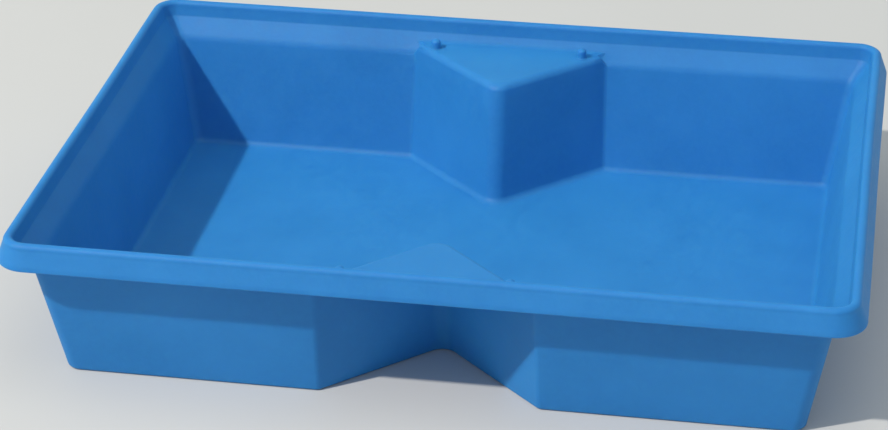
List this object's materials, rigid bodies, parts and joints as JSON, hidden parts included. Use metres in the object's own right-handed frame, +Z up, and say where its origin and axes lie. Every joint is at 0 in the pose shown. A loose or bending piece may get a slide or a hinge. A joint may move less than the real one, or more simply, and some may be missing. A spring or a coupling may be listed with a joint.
{
  "type": "mud pan",
  "caption": "Open rectangular plastic mud pan with a flat floor, tapered walls pinched in the middle of the long sides, and a turned-down rim to lift it by.",
  "frame": {"origin": "middle of the flat underside, on the surface that the pan stands on", "axes": "+X along the pan's length, +Y across it towards the back long wall, +Z up out of the open top"},
  "size_m": [0.7724, 0.5704, 0.1495],
  "materials": {
    "pan_shell": "semi-gloss moulded blue polyethylene with a faint grained texture"
  },
  "bodies": {
    "root": {"pan_shell": "pan_shell"}
  },
  "joints": []
}
